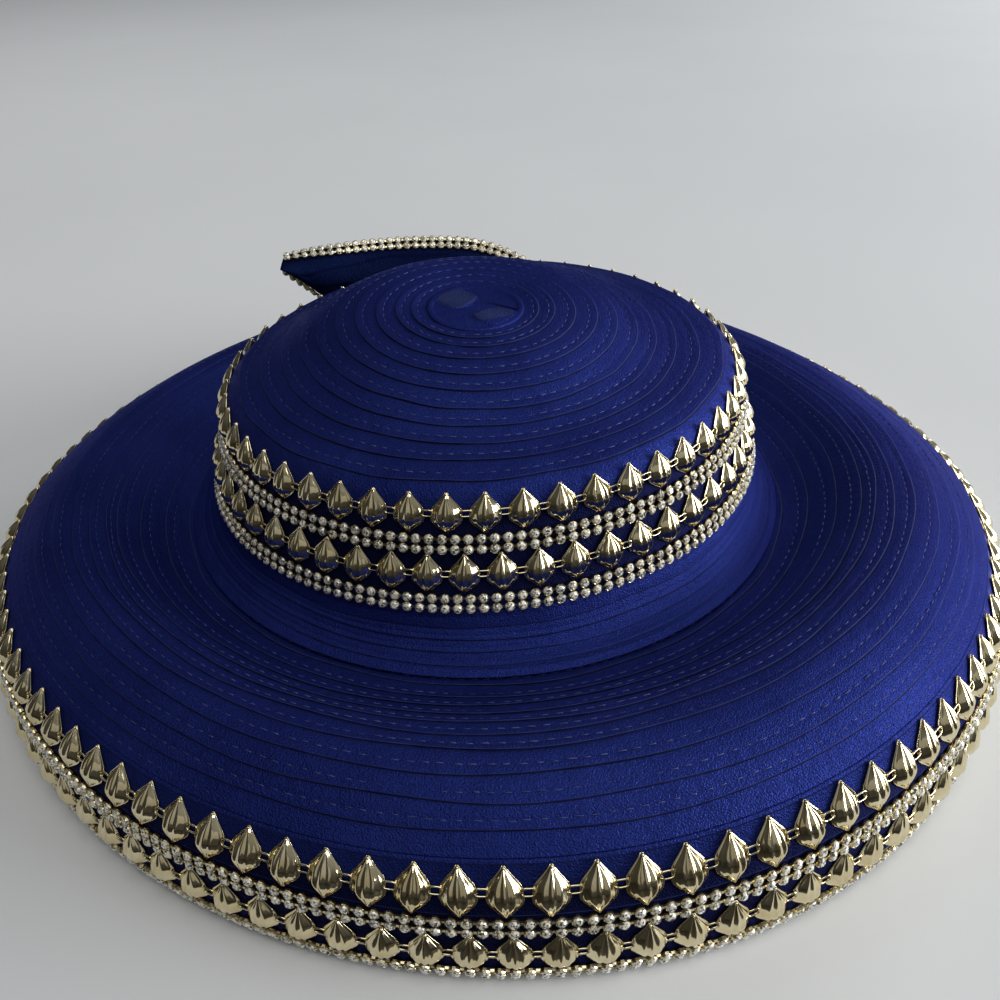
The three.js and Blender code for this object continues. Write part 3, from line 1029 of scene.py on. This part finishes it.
TRIM_HEIGHTS = (SHELL_HEIGHT, BAND_HEIGHT, SHELL_HEIGHT, BAND_HEIGHT)
crown_stretches = stretch_profiles(*CROWN_WALL, TRIM_HEIGHTS)
rim_stretches = [Profile([a, b]) for a, b in zip(RIM_WALL[:-1], RIM_WALL[1:])]

# The last value is the angle of a stud's tip, from the photo.
shell_chain("crown_shells_upper", crown_stretches[0], "crown_shell_chain_upper", -0.108)
shell_chain("crown_shells_lower", crown_stretches[2], "crown_shell_chain_lower", 0.06)
shell_chain("brim_shells_upper", rim_stretches[0], "brim_shell_chain_upper", -0.011)
shell_chain("brim_shells_lower", rim_stretches[2], "brim_shell_chain_lower", 0.0)
rhinestone_band("crown_stones_upper", crown_stretches[1], "crown_rhinestone_band_upper")
rhinestone_band("crown_stones_lower", crown_stretches[3], "crown_rhinestone_band_lower")
rhinestone_band("brim_stones_upper", rim_stretches[1], "brim_rhinestone_band_upper")
rhinestone_band("brim_stones_lower", rim_stretches[3], "brim_rhinestone_band_lower")


# The crown's button

BUTTON_FOOT = DOME[0][1] - RIBBON_STEP
BUTTON_RISE = 0.5
BUTTON_EDGE = 0.8
BUTTON_RINGS = 34
BUTTON_AROUND = 132
DISH_RADIUS = 15.4
DISH_EDGE = (14.8, 15.7)
DISH_DEPTH = 0.4

# The folded ribbon ends in the middle: centre to the right and back, length and width of a
# pointed lens, and how far it turns, in millimetres and degrees.
FOLDS = [(-7.0, 6.6, 15.5, 15.0, 8), (8.0, -7.4, 18.0, 14.0, -6)]
FOLD_RISE = 0.7
FOLD_STEEPNESS = 7
FOLD_STARTS = 0.04

# A crease that runs to the right and forward: a point on it, its slope, half width and depth,
# and where it starts.
CREASE_POINT = (7, 2.6)
CREASE_SLOPE = 0.52
CREASE_WIDTH = 0.7
CREASE_DEPTH = 0.3
CREASE_FROM = -1


def fold_share(x, y, fold):
    """How far a point is inside a fold: 0 at its edge and outside, 1 along its middle."""
    centre_x, centre_y, length, width, turn = fold
    c, s = math.cos(math.radians(turn)), math.sin(math.radians(turn))
    p = (x - centre_x) * c + (y - centre_y) * s
    q = -(x - centre_x) * s + (y - centre_y) * c
    reach = width / 2 * (1 - (2 * p / length) ** 2)
    return np.clip(1 - np.abs(q) / np.maximum(reach, 1e-3), 0, 1) * (reach > 0)


def make_button(angles):
    """The round patch in the middle of the dome: a shallow dish with the ribbon's folded ends."""
    rows = []
    for radius in np.linspace(0, BUTTON_RADIUS, BUTTON_RINGS):
        x, y = radius * np.sin(angles), -radius * np.cos(angles)
        in_dish = radius < DISH_RADIUS
        edge = 1 - max(0.0, (radius - BUTTON_RADIUS + BUTTON_EDGE) / BUTTON_EDGE) ** 2
        height = BUTTON_FOOT + BUTTON_RISE * edge
        height = height - DISH_DEPTH * (1 - eased(radius, *DISH_EDGE))
        crease = np.abs(y - CREASE_POINT[1] + CREASE_SLOPE * (x - CREASE_POINT[0])) / CREASE_WIDTH
        height = height - CREASE_DEPTH * np.exp(-crease**2) * (x > CREASE_FROM) * in_dish
        for fold in FOLDS:
            share = fold_share(x, y, fold) * in_dish
            rise = np.clip(share * FOLD_STEEPNESS, 0, 1) ** 0.5 * (0.75 + 0.25 * share)
            height = height + FOLD_RISE * rise
        rows.append((radius, height, radius))
    rows.append((0.0, BUTTON_FOOT, 0.0))
    piece = cloth_object("button_cloth", rows, angles, "crown_button")
    piece.data.materials.append(SATIN_BACK)
    back = len(CLOTH_MATERIALS)
    for face in piece.data.polygons:
        x = face.center[0] / MM - RIM_CENTRE[0] - CROWN_CENTRE[0] - DOME_DRIFT
        y = face.center[1] / MM - RIM_CENTRE[1] - CROWN_CENTRE[1]
        turned_over = max(fold_share(x, y, fold) for fold in FOLDS) > FOLD_STARTS
        if turned_over and math.hypot(x, y) < DISH_RADIUS and face.center[2] > BUTTON_FOOT * MM:
            face.material_index = back


make_button(turn_in(BUTTON_AROUND))


# The bow's leaf

# The leaf from its tip at the left to its hidden end: x, and its lower and upper edge's height.
LEAF_OUTLINE = [(-95.2, 87.6, 89.3), (-88, 79.4, 91), (-75, 66, 92.6), (-57, 48.5, 93.9),
                (-35, 38.2, 94.2), (-10, 36.6, 92.2), (10, 36.8, 84.6), (28, 38.8, 71),
                (40, 46, 58)]

# How far back it stands, how it bends to the front, and how its edges curl to the back.
LEAF_FRONT = 101.8
LEAF_BEND = 800.0
LEAF_BEND_FROM = -6.0
LEAF_CURL = 9.0
LEAF_CURL_POWER = 2.5
LEAF_EDGE_LEAN = 0.7
LEAF_THICKNESS = 2.0

# The ribbon's turns on the leaf: their width, how proud a lip is and how deep the next turn
# starts under it. They fade out where the leaf is narrow and under its lower edge's stones.
LEAF_RIBBON = 7.2
LEAF_PROUD = 0.25
LEAF_STEP = 0.7
LEAF_LIP = 0.1
LEAF_TIERS_GROW = (2, 14)
LEAF_BAND_FADES = (5, 8)
LEAF_STATIONS = 96
LEAF_STEPS = 64
LEAF_PATTERN = PATTERN_AROUND / MM

# The waves in which the turns stray along the leaf: size, length and start.
LEAF_STRAYS = [(0.5, 9, 0), (0.3, 4.1, 1)]
leaf_line = spline(LEAF_OUTLINE, 12)


def leaf_point(x, across, off=0.0):
    """A point of the leaf in millimetres: x along it, across from -1 to 1, off its middle."""
    low = np.interp(x, leaf_line[:, 0], leaf_line[:, 1])
    high = np.interp(x, leaf_line[:, 0], leaf_line[:, 2])
    curl = np.abs(across) ** LEAF_CURL_POWER
    y = LEAF_FRONT - (x - LEAF_BEND_FROM) ** 2 / LEAF_BEND + LEAF_CURL * curl
    lean = np.sign(across) * LEAF_EDGE_LEAN * curl
    z = (low + high) / 2 + (high - low) / 2 * across + off * lean
    y = y - off * (1 - np.abs(lean) * 0.3)
    x, y, z = np.broadcast_arrays(x, y, z)
    return np.stack([x + RIM_CENTRE[0], y + RIM_CENTRE[1], z], -1)


def make_leaf():
    """The leaf's closed body, with ribbon turns on its front and a plain back."""
    half = LEAF_THICKNESS / 2
    stations = np.linspace(LEAF_OUTLINE[0][0], LEAF_OUTLINE[-1][0], LEAF_STATIONS)
    heights = np.interp(stations, leaf_line[:, 0], leaf_line[:, 2] - leaf_line[:, 1])
    stray = sum(size * np.sin(stations / length + start) for size, length, start in LEAF_STRAYS)
    rows = []
    for across in np.linspace(-1, 1, LEAF_STEPS + 1):
        below_top = (1 - across) / 2 * heights + stray
        tier = (below_top / LEAF_RIBBON) % 1.0
        lip = np.clip((tier - 1 + LEAF_LIP) / LEAF_LIP, 0, 1)
        drop = (1 - tier) * LEAF_STEP + LEAF_STEP * lip
        shown = eased(heights, *LEAF_TIERS_GROW) * eased((1 + across) / 2 * heights, *LEAF_BAND_FADES)
        rows.append(leaf_point(stations, across, half + LEAF_PROUD - drop * shown))
    for across in np.linspace(1, -1, LEAF_STEPS + 1):
        rows.append(leaf_point(stations, across, -half))
    grid = np.array(rows) * MM
    faces = grid_faces(*grid.shape[:2], True, False)
    points = grid.reshape(-1, 3)
    mesh = mesh_from("leaf_cloth", points, faces, [("around", points * LEAF_PATTERN)])
    tidy_mesh(mesh, fill_ends, join_points)
    set_smooth(mesh)
    piece = new_object("leaf_cloth", mesh, [LEAF_PAINTED_SHADE_SATIN])
    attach(piece, "root")
    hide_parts("bow_leaf")


def unit(vector):
    return vector / np.linalg.norm(vector)


# Steps of a walk in from an edge, and how near a slope's points are, along and across.
WALK_STEPS = 8
NEAR = 0.1
NEAR_ACROSS = 0.001


def leaf_walk(x, edge, distance):
    """The place at a distance in from an edge, by small steps over the leaf's front, and the
    directions there: along the edge, inwards and out of the front."""
    across = float(edge)
    along = unit(leaf_point(x + NEAR, across) - leaf_point(x - NEAR, across))
    for _ in range(WALK_STEPS):
        by_x = (leaf_point(x + NEAR, across) - leaf_point(x - NEAR, across)) / (2 * NEAR)
        moved = leaf_point(x, across * (1 - NEAR_ACROSS)) - leaf_point(x, across)
        by_across = moved / (-NEAR_ACROSS * across)
        out = unit(np.cross(by_x, by_across))
        out *= -np.sign(out[1])
        along = unit(along - out * np.dot(along, out))
        inwards = unit(np.cross(out, along))
        inwards *= -edge * np.sign(np.dot(inwards, by_across))
        slopes = np.stack([by_x, by_across], 1)
        step = np.linalg.lstsq(slopes, inwards * distance / WALK_STEPS, rcond=None)[0]
        x, across = x + step[0], across + step[1]
    return leaf_point(x, across), along, inwards, out


# The stones' rows lie closer together here than round the hat, and their cups stand proud.
LEAF_ROWS_CLOSER = 0.8
LEAF_STONES_PROUD = 0.1
LEAF_BAND_POINTS = 400


def leaf_band(name, node, edge, start, end):
    """A double row of stones along the leaf's upper edge, 1, or lower edge, -1, by its x."""
    fine = np.linspace(start, end, LEAF_BAND_POINTS)
    line = leaf_point(fine, float(edge))
    length = np.concatenate([[0], np.cumsum(np.linalg.norm(np.diff(line, axis=0), axis=1))])
    sites = np.arange(STONE_PITCH / 2, length[-1], STONE_PITCH)

    def put(site, at, shape):
        x = np.interp(site + at[0], length, fine)
        middle, along, inwards, out = leaf_walk(x, edge, at[1] * LEAF_ROWS_CLOSER)
        off = shape[:, 2:] + LEAF_THICKNESS / 2 + LEAF_STONES_PROUD
        return (middle + shape[:, :1] * along + shape[:, 1:2] * inwards + off * out) * MM

    stone_field(name, node, sites, put)


make_leaf()
leaf_band("leaf_stones_upper", "bow_rhinestone_band_upper", 1, -95.2, 38)
leaf_band("leaf_stones_lower", "bow_rhinestone_band_lower", -1, -95, -58)
